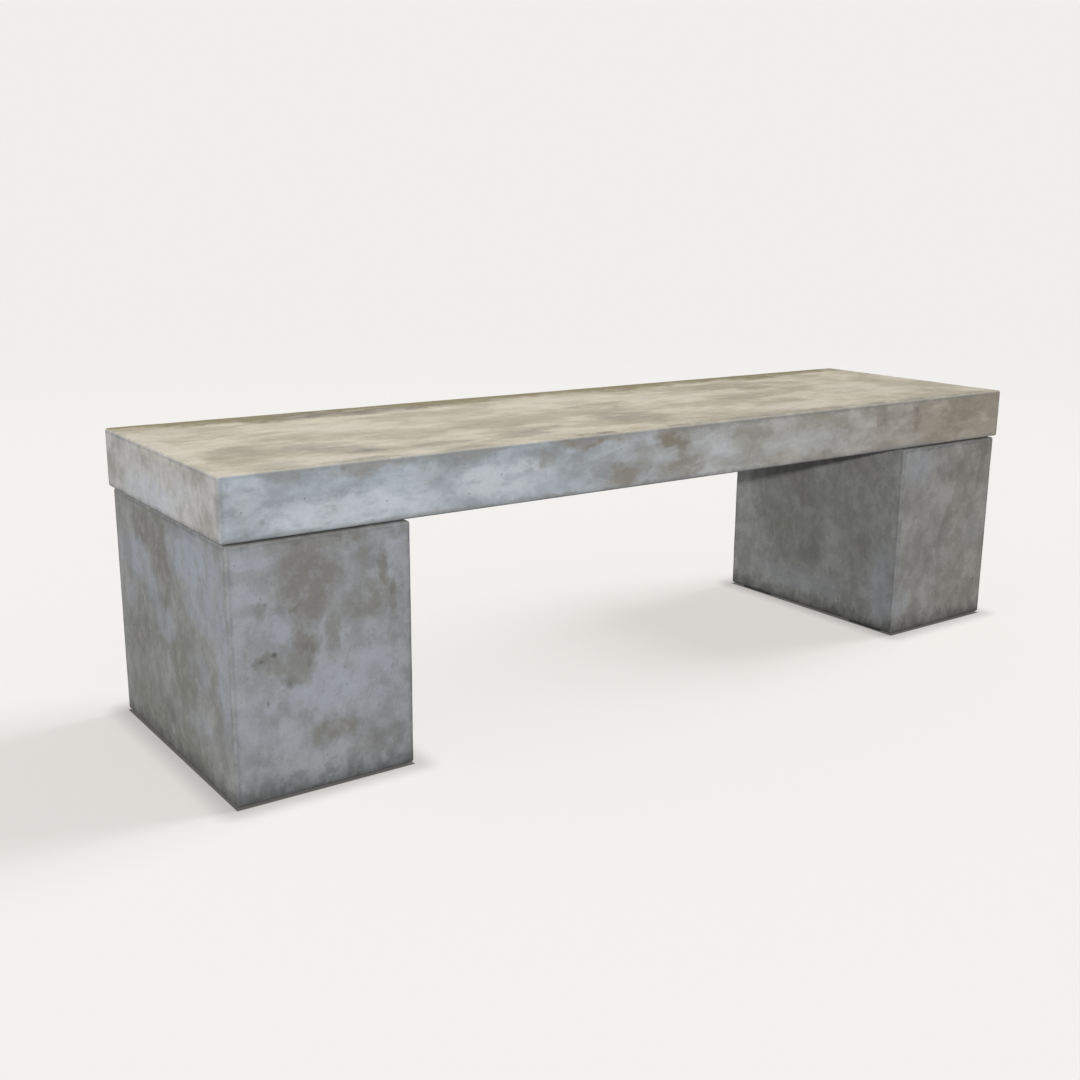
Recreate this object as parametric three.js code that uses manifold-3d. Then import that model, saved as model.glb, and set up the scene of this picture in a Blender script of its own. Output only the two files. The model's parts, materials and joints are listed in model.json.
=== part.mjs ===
// A backless bench of cast concrete: a thick seat slab bolted down on two box-shaped legs.
//
// Millimetres, +Z up. X runs along the bench, the front faces -Y, and the origin is on the ground
// under the middle of the seat. The three castings are thin-walled: the slab is hollowed out from
// below between its solid ends, and each leg is a box with a deck on top and an open bottom.
// Four bolts in each leg pass up through its deck into inserts that are cast into the slab.
// Rubber pads keep the slab off the legs, which leaves a thin shadow gap, and the legs off the
// ground.
import * as THREE from "three";
import { mergeVertices } from "three/addons/utils/BufferGeometryUtils.js";
import Module from "manifold-3d";

const wasm = await Module();
wasm.setup();

// Driving dimensions
const BENCH_LENGTH = 1600;
const BENCH_DEPTH = 450;
const BENCH_HEIGHT = 456;

const SLAB_THICKNESS = 90;
const LEG_LENGTH = 270;
const LEG_END_INSET = 6;
const LEG_SIDE_INSET = 3;
const ARRIS_RADIUS = 3;
const CORNER_RADIUS = 4;

const LEG_WALL = 28;
const LEG_DECK = 40;
const SLAB_SKIN = 28;
const SLAB_RIB = 30;
const SLAB_HOLLOWS = 3;
const SLAB_END_OVERHANG = 24;
const CORE_RADIUS = 18;
const CORE_DRAW = 4;

const BOLT_SPACING_X = 150;
const BOLT_SPACING_Y = 300;
const BOLT = { radius: 6, length: 70, headFlats: 18, headHeight: 7.5, tip: 1.5 };
const WASHER = { radius: 18.5, holeRadius: 6.5, thickness: 3 };
const INSERT = { radius: 9, length: 42, flangeRadius: 14, flangeHeight: 5, boreDepth: 33 };
const BEARING_PAD = { width: 64, thickness: 3, cornerRadius: 5 };
const FOOT_PAD = { width: 22, length: 80, thickness: 3, cornerRadius: 4 };
const BOLT_HOLE_RADIUS = 7;
const FIT_GAP = 0.3;

const CORNER_STEPS = 2;
const ARRIS_STEPS = 2;
const ROUND_SIDES = 16;
const CUT_MARGIN = 1;

// Worked out from the above
const LEG_HEIGHT = BENCH_HEIGHT - SLAB_THICKNESS - BEARING_PAD.thickness - FOOT_PAD.thickness;
const LEG_DEPTH = BENCH_DEPTH - 2 * LEG_SIDE_INSET;
const LEG_CENTRE_X = BENCH_LENGTH / 2 - LEG_END_INSET - LEG_LENGTH / 2;
const LEG_BASE_Z = FOOT_PAD.thickness;
const LEG_TOP_Z = LEG_BASE_Z + LEG_HEIGHT;
const SLAB_BASE_Z = BENCH_HEIGHT - SLAB_THICKNESS;
const WASHER_Z = LEG_TOP_Z - LEG_DECK - WASHER.thickness;
const BOLT_HEAD_RADIUS = BOLT.headFlats / Math.sqrt(3);
const FOOT_PAD_SPACING_X = LEG_LENGTH - LEG_WALL - ARRIS_RADIUS;

const LEGS = [
  { name: "left", side: -1 },
  { name: "right", side: 1 },
];

// The four bolts of a leg: outward is +1 on the bench's end side and -1 on the side facing the
// other leg, and y is measured from the bench's centre line.
const BOLT_PLACES = [
  { name: "front_outer", outward: 1, y: -BOLT_SPACING_Y / 2 },
  { name: "front_inner", outward: -1, y: -BOLT_SPACING_Y / 2 },
  { name: "back_outer", outward: 1, y: BOLT_SPACING_Y / 2 },
  { name: "back_inner", outward: -1, y: BOLT_SPACING_Y / 2 },
];

const MATERIALS = {
  slabConcrete: new THREE.MeshStandardMaterial({ color: 0xb3b1ab, roughness: 0.8, metalness: 0 }),
  legConcrete: new THREE.MeshStandardMaterial({ color: 0x8b8f92, roughness: 0.85, metalness: 0 }),
  rubber: new THREE.MeshStandardMaterial({ color: 0x1d1d1c, roughness: 0.75, metalness: 0 }),
  zincSteel: new THREE.MeshStandardMaterial({ color: 0xa7a9a6, roughness: 0.42, metalness: 1 }),
  bareSteel: new THREE.MeshStandardMaterial({ color: 0x8e8a7c, roughness: 0.5, metalness: 1 }),
};

// A closed geometry as a solid that can be joined and cut.
function solidOf(geometry) {
  const bare = geometry.index ? geometry.toNonIndexed() : geometry.clone();
  bare.deleteAttribute("normal");
  bare.deleteAttribute("uv");
  const merged = mergeVertices(bare, 1e-4);
  return new wasm.Manifold(
    new wasm.Mesh({
      numProp: 3,
      vertProperties: merged.getAttribute("position").array,
      triVerts: new Uint32Array(merged.index.array),
    }),
  );
}

// A solid as a flat-shaded geometry.
function geometryOf(solid) {
  const mesh = solid.getMesh();
  const geometry = new THREE.BufferGeometry();
  geometry.setAttribute("position", new THREE.BufferAttribute(mesh.vertProperties, 3));
  geometry.setIndex(new THREE.BufferAttribute(mesh.triVerts, 1));
  const faceted = geometry.toNonIndexed();
  faceted.computeVertexNormals();
  return faceted;
}

function roundedRectangle(width, depth, radius) {
  const x = width / 2 - radius;
  const y = depth / 2 - radius;
  const shape = new THREE.Shape();
  shape.absarc(x, -y, radius, -Math.PI / 2, 0);
  shape.absarc(x, y, radius, 0, Math.PI / 2);
  shape.absarc(-x, y, radius, Math.PI / 2, Math.PI);
  shape.absarc(-x, -y, radius, Math.PI, 1.5 * Math.PI);
  return shape;
}

function prism(shape, height) {
  return new THREE.ExtrudeGeometry(shape, {
    depth: height,
    bevelEnabled: false,
    curveSegments: CORNER_STEPS,
  });
}

function cylinder(radius, height, sides = ROUND_SIDES) {
  const geometry = new THREE.CylinderGeometry(radius, radius, height, sides);
  return solidOf(geometry.rotateX(Math.PI / 2).translate(0, 0, height / 2));
}

function turned(profile) {
  const points = profile.map(([radius, z]) => new THREE.Vector2(radius, z));
  return solidOf(new THREE.LatheGeometry(points, ROUND_SIDES).rotateX(Math.PI / 2));
}

// The tool that cuts a hole right through a plate standing on z = 0.
function throughHole(radius, plateThickness) {
  return cylinder(radius, plateThickness + 2 * CUT_MARGIN).translate([0, 0, -CUT_MARGIN]);
}

// A block standing on z = 0 with every arris rounded, as it leaves its mould.
function castBlock(width, depth, height) {
  const geometry = new THREE.ExtrudeGeometry(roundedRectangle(width, depth, CORNER_RADIUS), {
    depth: height - 2 * ARRIS_RADIUS,
    bevelThickness: ARRIS_RADIUS,
    bevelSize: ARRIS_RADIUS,
    bevelOffset: -ARRIS_RADIUS,
    bevelSegments: ARRIS_STEPS,
    curveSegments: CORNER_STEPS,
  });
  return solidOf(geometry.translate(0, 0, ARRIS_RADIUS));
}

// The core that forms a hollow open at z = 0, drawn in towards its top so that it releases.
function mouldCore(width, depth, height) {
  const geometry = prism(roundedRectangle(width, depth, CORE_RADIUS), height + CUT_MARGIN);
  geometry.translate(0, 0, -CUT_MARGIN);
  const position = geometry.getAttribute("position");
  for (let i = 0; i < position.count; i++) {
    const drawnIn = (2 * CORE_DRAW * position.getZ(i)) / height;
    position.setX(i, position.getX(i) * (1 - drawnIn / width));
    position.setY(i, position.getY(i) * (1 - drawnIn / depth));
  }
  return solidOf(geometry);
}

// An insert's outline: a plain barrel with a wide top flange that keeps it from pulling out.
function insertOutline(clearance) {
  const barrelRadius = INSERT.radius + clearance;
  const flangeRadius = INSERT.flangeRadius + clearance;
  const flangeZ = INSERT.length - INSERT.flangeHeight - clearance;
  const topZ = INSERT.length + clearance;
  return turned([
    [0, -clearance],
    [barrelRadius, -clearance],
    [barrelRadius, flangeZ],
    [flangeRadius, flangeZ],
    [flangeRadius, topZ],
    [0, topZ],
  ]);
}

function seatSlab() {
  const endLength = LEG_END_INSET + LEG_LENGTH + SLAB_END_OVERHANG;
  const hollowedLength = BENCH_LENGTH - 2 * endLength;
  const pitch = (hollowedLength + SLAB_RIB) / SLAB_HOLLOWS;
  const core = mouldCore(pitch - SLAB_RIB, BENCH_DEPTH - 2 * SLAB_RIB, SLAB_THICKNESS - SLAB_SKIN);
  let slab = castBlock(BENCH_LENGTH, BENCH_DEPTH, SLAB_THICKNESS);
  for (let i = 0; i < SLAB_HOLLOWS; i++)
    slab = slab.subtract(core.translate([(i - (SLAB_HOLLOWS - 1) / 2) * pitch, 0, 0]));
  const insertSeat = insertOutline(FIT_GAP);
  for (const { side } of LEGS)
    for (const { outward, y } of BOLT_PLACES) {
      const x = side * (LEG_CENTRE_X + (outward * BOLT_SPACING_X) / 2);
      slab = slab.subtract(insertSeat.translate([x, y, 0]));
    }
  return geometryOf(slab);
}

function legBox() {
  const core = mouldCore(LEG_LENGTH - 2 * LEG_WALL, LEG_DEPTH - 2 * LEG_WALL, LEG_HEIGHT - LEG_DECK);
  const hole = throughHole(BOLT_HOLE_RADIUS, LEG_DECK);
  let leg = castBlock(LEG_LENGTH, LEG_DEPTH, LEG_HEIGHT).subtract(core);
  for (const { outward, y } of BOLT_PLACES)
    leg = leg.subtract(hole.translate([(outward * BOLT_SPACING_X) / 2, y, LEG_HEIGHT - LEG_DECK]));
  return geometryOf(leg);
}

function threadedInsert() {
  const bore = cylinder(BOLT.radius + FIT_GAP, INSERT.boreDepth + CUT_MARGIN);
  return geometryOf(insertOutline(0).subtract(bore.translate([0, 0, -CUT_MARGIN])));
}

// A hexagon-head bolt pointing up, with the bearing face of its head at z = 0.
function hexBolt() {
  const head = cylinder(BOLT_HEAD_RADIUS, BOLT.headHeight, 6).translate([0, 0, -BOLT.headHeight]);
  const shank = turned([
    [0, -CUT_MARGIN],
    [BOLT.radius, -CUT_MARGIN],
    [BOLT.radius, BOLT.length - BOLT.tip],
    [BOLT.radius - BOLT.tip, BOLT.length],
    [0, BOLT.length],
  ]);
  return geometryOf(head.add(shank));
}

function washerPlate() {
  const { radius, holeRadius, thickness } = WASHER;
  return geometryOf(cylinder(radius, thickness).subtract(throughHole(holeRadius, thickness)));
}

function bearingPad() {
  const { width, thickness, cornerRadius } = BEARING_PAD;
  const plate = solidOf(prism(roundedRectangle(width, width, cornerRadius), thickness));
  return geometryOf(plate.subtract(throughHole(BOLT_HOLE_RADIUS, thickness)));
}

function footPad() {
  const { width, length, thickness, cornerRadius } = FOOT_PAD;
  return prism(roundedRectangle(width, length, cornerRadius), thickness);
}

const SHAPES = {
  leg: legBox(),
  insert: threadedInsert(),
  bolt: hexBolt(),
  washer: washerPlate(),
  bearingPad: bearingPad(),
  footPad: footPad(),
};

function piece(name, geometry, material, x, y, z) {
  const mesh = new THREE.Mesh(geometry, material);
  mesh.name = name;
  mesh.position.set(x, y, z);
  return mesh;
}

// One leg with its pads and fixings, in a group centred under the leg.
function legGroup({ name, side }) {
  const { legConcrete, bareSteel, zincSteel, rubber } = MATERIALS;
  const group = new THREE.Group();
  group.position.x = side * LEG_CENTRE_X;
  group.add(piece(`${name}_leg`, SHAPES.leg, legConcrete, 0, 0, LEG_BASE_Z));
  for (const place of BOLT_PLACES) {
    const prefix = `${name}_${place.name}`;
    const x = (side * place.outward * BOLT_SPACING_X) / 2;
    const footX = (side * place.outward * FOOT_PAD_SPACING_X) / 2;
    group.add(
      piece(`${prefix}_insert`, SHAPES.insert, bareSteel, x, place.y, SLAB_BASE_Z),
      piece(`${prefix}_bolt`, SHAPES.bolt, zincSteel, x, place.y, WASHER_Z),
      piece(`${prefix}_washer`, SHAPES.washer, zincSteel, x, place.y, WASHER_Z),
      piece(`${prefix}_bearing_pad`, SHAPES.bearingPad, rubber, x, place.y, LEG_TOP_Z),
      piece(`${prefix}_foot_pad`, SHAPES.footPad, rubber, footX, place.y, 0),
    );
  }
  return group;
}

const bench = new THREE.Group();
bench.add(piece("seat_slab", seatSlab(), MATERIALS.slabConcrete, 0, 0, SLAB_BASE_Z));
for (const leg of LEGS) bench.add(legGroup(leg));

export default bench;
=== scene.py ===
"""The backless concrete bench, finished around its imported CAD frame.

Metres, +Z up. The bench runs along X and its front faces -Y. The three castings are replaced by
finely modelled ones that are cut to the CAD solids' own hollows, and the bolts by threaded ones.
The other CAD pieces keep their shapes, with their edges softened. Every material is procedural.
"""
import json
import math
import random

import bmesh
import bpy
import numpy as np
from mathutils import Euler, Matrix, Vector, noise

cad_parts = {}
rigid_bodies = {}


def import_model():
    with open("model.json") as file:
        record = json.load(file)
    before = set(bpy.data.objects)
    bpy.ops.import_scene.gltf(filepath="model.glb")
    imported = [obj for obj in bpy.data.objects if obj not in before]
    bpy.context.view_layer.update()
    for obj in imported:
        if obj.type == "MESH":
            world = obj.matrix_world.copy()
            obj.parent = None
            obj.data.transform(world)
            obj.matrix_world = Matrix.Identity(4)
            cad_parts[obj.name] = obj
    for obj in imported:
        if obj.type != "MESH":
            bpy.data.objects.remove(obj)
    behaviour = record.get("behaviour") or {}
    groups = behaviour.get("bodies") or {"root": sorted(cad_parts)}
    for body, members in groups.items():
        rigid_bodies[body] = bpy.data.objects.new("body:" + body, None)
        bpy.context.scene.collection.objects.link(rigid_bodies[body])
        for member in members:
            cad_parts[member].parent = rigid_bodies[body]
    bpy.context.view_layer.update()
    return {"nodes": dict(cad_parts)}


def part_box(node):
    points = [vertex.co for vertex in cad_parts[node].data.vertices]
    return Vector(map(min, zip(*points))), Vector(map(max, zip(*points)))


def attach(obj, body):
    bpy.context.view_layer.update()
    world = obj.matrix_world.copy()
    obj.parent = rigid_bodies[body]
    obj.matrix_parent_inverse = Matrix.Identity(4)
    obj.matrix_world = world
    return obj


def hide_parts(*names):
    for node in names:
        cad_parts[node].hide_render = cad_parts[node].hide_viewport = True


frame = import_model()

MM = 0.001
BLACK = (0, 0, 0, 1)

# Camera
CAMERA_PLACE = (-1.3824, -1.7515, 0.7744)
CAMERA_YAW = math.radians(36.643)
CAMERA_PITCH = math.radians(-13.621)
CAMERA_ROLL = math.radians(0.757)
CAMERA_LENS = 42.923
CAMERA_SHIFT = (-0.0296, -0.0093)

# Studio: a pale floor that dissolves into an even pale surround, and soft lamps
SURROUND_GLOW = (0.87, 0.86, 0.85, 1)
SURROUND_RADIUS = 25
AMBIENT_COLOUR = (0.96, 0.97, 1.0, 1)
AMBIENT_STRENGTH = 0.31
FLOOR_COLOUR = (0.4, 0.395, 0.385, 1)
FLOOR_SHADED = (0.02, 0.02, 0.02, 1)
FLOOR_GLOW = (0.615, 0.595, 0.57, 1)
FLOOR_BOUNCE_COLOUR = (0.26, 0.26, 0.255, 1)
FLOOR_ROUGHNESS = 0.9
FLOOR_FADE = (2.4, 6.5)
# A painted contact shadow on the floor at the legs' feet
CONTACT_REACH = 45 * MM
CONTACT_SHADE = 0.72
CONTACT_COVER = 0.23
COOL = (0.98, 0.99, 1)
BENCH_LAMPS = {
    "key": dict(
        place=(-3.7, -6.0, 2.28), target=(-0.1, 0, 0.3), size=0.26, energy=425, colour=(1, 0.99, 0.97)
    ),
    "left": dict(
        place=(-3.6, 0.6, 1.5), target=(-0.6, 0, 0.3), size=2.2, energy=34, colour=(0.97, 0.98, 1)
    ),
    "overhead": dict(
        place=(0.1, 0.7, 3.4), target=(0, 0, 0.4), size=2.6, energy=62, colour=(1, 0.99, 0.96)
    ),
    "back": dict(
        place=(3.4, 2.6, 0.42), target=(0.3, 0, 0.25), size=0.8, energy=75, colour=COOL, glossy=False
    ),
}
FLOOR_SUN = dict(
    place=(5.0, -0.35, 3.3), target=(0, 0, 0), size=0.5, energy=2.45, colour=COOL, kind="SUN"
)

# Castings: their arrises, the unevenness of their cast faces, and the mesh that carries both
ARRIS_RADIUS = 4.3 * MM
ARRIS_WANDER = 0.25 * MM
ARRIS_STEPS = 4
ARRIS_FOLLOW_ON = (1.5, 2.2)
FACE_SET_BACK = 0.12 * MM
FACE_WAVE = 0.55 * MM
WAVE_LENGTH = 90 * MM
WAVE_OCTAVES = 3
WANDER_LENGTH = 45 * MM
SLAB_STEP = 8 * MM
LEG_STEP = 6 * MM
SMOOTH_ANGLE = math.radians(38)
CUTTER_WELD = 0.001 * MM
SLAB_SEED = 3
LEG_SEEDS = {"left": 11, "right": 17}

# Outer faces, as (axis, direction), and the ways along Z that a casting's bearing faces look
TOP = (2, 1)
SIDES = ((1, -1), (1, 1), (0, -1), (0, 1))
DOWN_ONLY = (-1,)
UP_AND_DOWN = (-1, 1)

# Air holes left by the casting
PIT_SPACING = 14 * MM
PIT_EDGE_MARGIN = 8 * MM
PITS_PER_SQUARE_METRE = 55
PIT_RADIUS = (0.7 * MM, 1.9 * MM)
PIT_WIDTH_SHARE = (0.8, 1.25)
PIT_DEPTH_SHARE = 0.75
PIT_RISE = 0.15

# Bolts (M12): hexagon head, plain shank, thread
BOLT_SIDES = 36
BOLT_FLAT = 9 * MM
BOLT_HEAD_HEIGHT = 7.5 * MM
BOLT_HEAD_CHAMFER = ((0, 8.3 * MM), (0.06, 9.1 * MM), (0.14, 9.8 * MM), (0.22, 10.4 * MM))
BOLT_COLLAR = 0.4 * MM
BOLT_RADIUS = 5.95 * MM
BOLT_THREADED = 38 * MM
BOLT_PITCH = 1.75 * MM
BOLT_STEPS_PER_TURN = 6
BOLT_THREAD_DEPTH = 1.0 * MM
BOLT_SHARP = math.radians(25)
SOFT_EDGE = 0.5 * MM
WELD_REACH = 0.01 * MM

# Layers of noise. Each has the size of its features, how fine and how rough they are, how far they
# are stretched along each axis, where in the noise it is taken, and the noise levels it fades between
LAYERS = {
    "cloud": dict(size=75 * MM, detail=5, rough=0.6, levels=(0.41, 0.58)),
    "patch": dict(size=24 * MM, detail=6, rough=0.66, shift=3.0, levels=(0.43, 0.58)),
    "grain": dict(size=6 * MM, rough=0.6, shift=5.0, levels=(0.3, 0.7)),
    "drip": dict(size=9 * MM, rough=0.6, stretch=(1, 1, 14), shift=7.0, levels=(0.45, 0.7)),
    "wear": dict(size=19 * MM, detail=6, rough=0.68, shift=9.0, levels=(0.38, 0.56)),
    "scatter": dict(size=75 * MM, detail=5, rough=0.6, shift=12.0, levels=(0.5, 0.64)),
    "gloss": dict(size=20 * MM, detail=4, rough=0.6, shift=15.0, levels=(0.3, 0.7)),
    "band": dict(
        size=100 * MM, detail=5, rough=0.62, stretch=(1, 0.4, 1), shift=21.0, levels=(0.36, 0.56)
    ),
    "rust": dict(size=9 * MM, detail=4, rough=0.65, shift=6.0, levels=(0.6, 0.75)),
    "dust": dict(size=12 * MM, detail=4, rough=0.65, shift=3.0, levels=(0.5, 0.72)),
}
GRIT = dict(size=2.4 * MM, rough=0.6, shift=17.0)
SWELL = dict(size=12 * MM, detail=4, rough=0.55, shift=19.0)
SCRATCHES = dict(size=0.6 * MM, rough=0.6, stretch=(1, 1, 12), shift=4.0)
RUBBER_TEXTURE = dict(size=0.9 * MM, rough=0.6, shift=1.0)
WARP = dict(detail=6, rough=0.66, colour=True)

# Concrete: how strongly each layer shows, and where
# The tints along the bench, on the left-facing ends and on top are partly painted light
TINT_PLACES = (-0.45, 0.25, 0.75)
TINT_WARP = (120 * MM, 120 * MM)
FACING_UP = (0.35, 0.85)
FACING_LEFT = (-0.5, -0.9)
FACING_AWAY = (0.3, 0.8)
FACING_LEVEL = (0.1, 0.4)
UPRIGHT = (0.7, 0.3)
CLOUD_STRENGTH = 0.7
PATCH_STRENGTH = (0.6, 0.42)
STAIN_WARP = (30 * MM, 45 * MM)
STAIN_WEAR = (0.38, 1.0)
STAIN_THICKNESS = 30 * MM
STAIN_CORE = 0.4
SCATTER_STRENGTH = 0.8
SCATTER_SEEN = (0.15, 1)
BAND_DEPTH = (168 * MM, 212 * MM)
BAND_WANDER = 14 * MM
BAND_STRENGTH = (0.35, 1)
MARK_WARP = (6 * MM, 6 * MM)
MARK_CORE = 0.0
DRIP_STRENGTH = 0.05
GRAIN_STRENGTH = 0.2
# Arrises: patchy wear, with painted shade on the upright and lower ones
EDGE_REACH = 9 * MM
EDGE_WEAR = (0.5, 1.0)
LINE_STRENGTH = 2.4
ARRIS_SHOWS = (0.55, 0.95)
ARRIS_STRENGTH = 0.8
PINHOLE_SPACING = 11 * MM
PINHOLE_RADIUS = 1.1 * MM
PINHOLE_EMPTY = 0.62
PINHOLE_STRENGTH = 0.6
PINHOLE_RELIEF = -1.5
# Darkening towards the ground: partly painted shade near the floor, partly damp
FOOT_HEIGHT = (42 * MM, -8 * MM)
FOOT_WANDER = -6 * MM
CONCRETE_GLOSS = (0.62, 0.84)
GRIT_HEIGHT = 0.22 * MM
SWELL_HEIGHT = 0.9 * MM

# Steel and rubber
STEEL_DULL = 0.62
STEEL_LEVELS = (0.3, 0.7)
STEEL_GLOSS_LEVELS = (0.7, 1.3)
STEEL_GLOSS = (-0.1, 0.15)
STEEL_SPOT = (0.2, 0.13, 0.08, 1)
STEEL_SPOT_STRENGTH = 0.5
SCRATCH_HEIGHT = 0.03 * MM
CRYSTAL_HEIGHT = 0.05 * MM
RUBBER_COLOUR = (0.022, 0.022, 0.023, 1)
RUBBER_DUST = (0.16, 0.155, 0.145, 1)
RUBBER_DUST_STRENGTH = 0.55
RUBBER_ROUGHNESS = 0.75
RUBBER_LEVELS = (0.3, 0.7)
RUBBER_GLOSS = (0.65, 0.85)
RUBBER_HEIGHT = 0.12 * MM


def centre_and_half(low, high):
    """A box's centre, and half its size along each axis."""
    centre = [(a + b) / 2 for a, b in zip(low, high)]
    half = [(b - a) / 2 for a, b in zip(low, high)]
    return centre, half


# ---------------------------------------------------------------------------- castings


def grid_lines(low, high, step):
    """Coordinates across a casting: close together where its arrises turn, even between them."""
    turn = 1 - np.tan(np.linspace(math.pi / 4, 0, ARRIS_STEPS + 1))
    near = ARRIS_RADIUS * np.append(turn, ARRIS_FOLLOW_ON)
    count = round((high - low - 2 * near[-1]) / step)
    middle = np.linspace(low + near[-1], high - near[-1], count + 1)[1:-1]
    return np.concatenate([low + near, middle, (high - near)[::-1]])


def lattice_surface(lines):
    """The points and outward quads of a block's surface, on the given x, y and z lines."""
    shape = [len(each) for each in lines]
    outside = np.ones(shape, bool)
    outside[1:-1, 1:-1, 1:-1] = False
    number = np.zeros(shape, int)
    number[outside] = np.arange(outside.sum())
    points = np.stack(np.meshgrid(*lines, indexing="ij"), -1)[outside]
    quads = []
    for axis in range(3):
        for end in (0, -1):
            sheet = number.take(end, axis)
            corners = [sheet[:-1, :-1], sheet[1:, :-1], sheet[1:, 1:], sheet[:-1, 1:]]
            if (end == 0) != (axis == 1):
                corners.reverse()
            quads.append(np.stack(corners, -1).reshape(-1, 4))
    return points, np.concatenate(quads)


def cast_point(point, low, high, seed, bearing):
    """Where a point of the sharp block ends up on the rounded, slightly uneven casting."""
    wander = noise.noise(point / WANDER_LENGTH + seed)
    radius = ARRIS_RADIUS + ARRIS_WANDER * wander
    core = Vector(min(max(p, a + radius), b - radius) for p, a, b in zip(point, low, high))
    outward = (point - core).normalized()
    wave = 0.5 + 0.5 * noise.fractal(point / WAVE_LENGTH + seed, 1.0, 2.0, WAVE_OCTAVES)
    flat = max(side * outward.z for side in bearing)
    set_back = FACE_SET_BACK + FACE_WAVE * max(wave, 0) * (1 - max(flat, 0))
    return core + outward * (radius - set_back)


def add_piece(name, mesh):
    piece = bpy.data.objects.new(name, mesh)
    bpy.context.scene.collection.objects.link(piece)
    return piece


def mesh_from(shape, name):
    """A mesh with this bmesh's shape, which it frees."""
    mesh = bpy.data.meshes.new(name)
    shape.to_mesh(mesh)
    shape.free()
    return mesh


def cast_block(name, node, step, seed, bearing):
    """The outer surface of a casting, a little inside its CAD node's."""
    low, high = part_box(node)
    lines = [grid_lines(a, b, step) for a, b in zip(low, high)]
    points, quads = lattice_surface(lines)
    placed = [cast_point(Vector(p), low, high, seed, bearing) for p in points]
    mesh = bpy.data.meshes.new(name)
    mesh.from_pydata(placed, [], quads.tolist())
    return add_piece(name, mesh)


def welded_copy(node):
    """A CAD node's solid with its split corners joined, as a tool to cut with."""
    shape = bmesh.new()
    shape.from_mesh(frame["nodes"][node].data)
    bmesh.ops.remove_doubles(shape, verts=shape.verts, dist=CUTTER_WELD)
    return add_piece("cutter", mesh_from(shape, "cutter"))


def pit_cutter(pits):
    """Small uneven cups to cut out of a casting: (place, outward, radius) for each."""
    shape = bmesh.new()
    for place, outward, radius in pits:
        made = bmesh.ops.create_icosphere(shape, subdivisions=2, radius=radius)["verts"]
        spin = outward.to_track_quat("Z", "Y").to_matrix().to_4x4()
        length = random.uniform(*PIT_WIDTH_SHARE)
        width = random.uniform(*PIT_WIDTH_SHARE)
        squash = Vector((length, width, PIT_DEPTH_SHARE))
        turn = Euler((0, 0, random.uniform(0, math.pi))).to_matrix().to_4x4()
        for vert in made:
            vert.co = spin @ (turn @ (vert.co * squash)) + place + outward * radius * PIT_RISE
    return add_piece("cutter", mesh_from(shape, "cutter"))


def cut(piece, cutter, operation):
    """Applies one boolean and removes the tool."""
    modifier = piece.modifiers.new("cut", "BOOLEAN")
    modifier.operation = operation
    modifier.object = cutter
    modifier.solver = "MANIFOLD"
    done = bpy.data.meshes.new_from_object(piece.evaluated_get(bpy.context.evaluated_depsgraph_get()))
    piece.modifiers.clear()
    piece.data = done
    piece.data.materials.clear()
    bpy.data.objects.remove(cutter)


def random_pits(low, high, sides):
    """Pits scattered over the named faces, kept off the arrises and apart from each other."""
    pits = []
    size = high - low
    first = [a + PIT_EDGE_MARGIN for a in low]
    last = [b - PIT_EDGE_MARGIN for b in high]
    for axis, end in sides:
        across = [a for a in range(3) if a != axis]
        area = size[across[0]] * size[across[1]]
        outward = Vector([end if a == axis else 0 for a in range(3)])
        for _ in range(round(area * PITS_PER_SQUARE_METRE)):
            place = Vector([random.uniform(a, b) for a, b in zip(first, last)])
            place[axis] = high[axis] if end > 0 else low[axis]
            radius = random.uniform(*PIT_RADIUS)
            if all((place - other).length > PIT_SPACING for other, _, _ in pits):
                pits.append((place, outward, radius))
    return pits


def casting(name, node, step, seed, bearing, sides, slot):
    """A finished casting: uneven outer faces, the CAD solid's hollows and holes, and pits."""
    random.seed(seed)
    piece = cast_block(name, node, step, Vector((seed, 2 * seed, 3 * seed)), bearing)
    cut(piece, welded_copy(node), "INTERSECT")
    low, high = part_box(node)
    cut(piece, pit_cutter(random_pits(low, high, sides)), "DIFFERENCE")
    piece.data.shade_smooth()
    piece.data.set_sharp_from_angle(angle=SMOOTH_ANGLE)
    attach(piece, "root")
    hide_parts(node)
    return piece


slab = casting(
    "seat_casting", "seat_slab", SLAB_STEP, SLAB_SEED, DOWN_ONLY, (TOP, *SIDES), "seat_concrete"
)
legs = []
for side, seed in LEG_SEEDS.items():
    names = (f"{side}_leg_casting", f"{side}_leg")
    legs.append(casting(*names, LEG_STEP, seed, UP_AND_DOWN, SIDES, "leg_concrete"))


# ---------------------------------------------------------------------------- materials


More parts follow.
